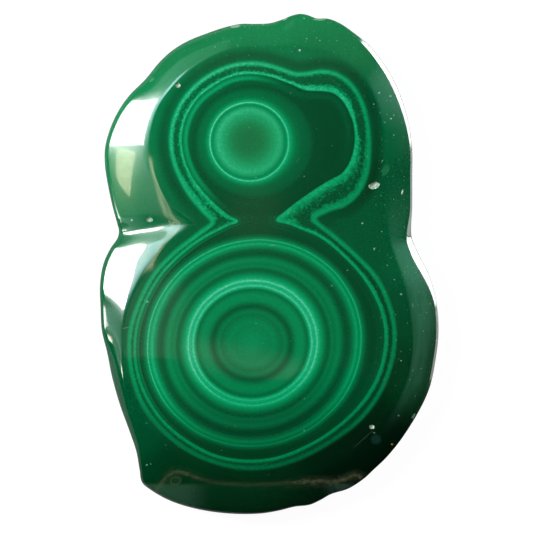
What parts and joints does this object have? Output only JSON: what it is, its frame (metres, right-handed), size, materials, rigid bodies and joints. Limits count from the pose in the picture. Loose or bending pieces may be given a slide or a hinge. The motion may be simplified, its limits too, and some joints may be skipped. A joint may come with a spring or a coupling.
{
  "type": "malachite stalactite slice",
  "caption": "Figure-eight cross-section of two grown-together malachite stalactites, polished domed face with growth rings, bevelled rim and flat sawn back.",
  "frame": {"origin": "middle of the slice's bounding box, on the sawn back that it rests on", "axes": "+Z out of the polished face, +Y from the large lobe to the small lobe along the slice's length, +X to the right as the face is looked at"},
  "size_m": [0.0542, 0.08, 0.0086],
  "materials": {
    "malachite": "polished"
  },
  "bodies": {
    "root": {"malachite_slice": "malachite"}
  },
  "joints": []
}
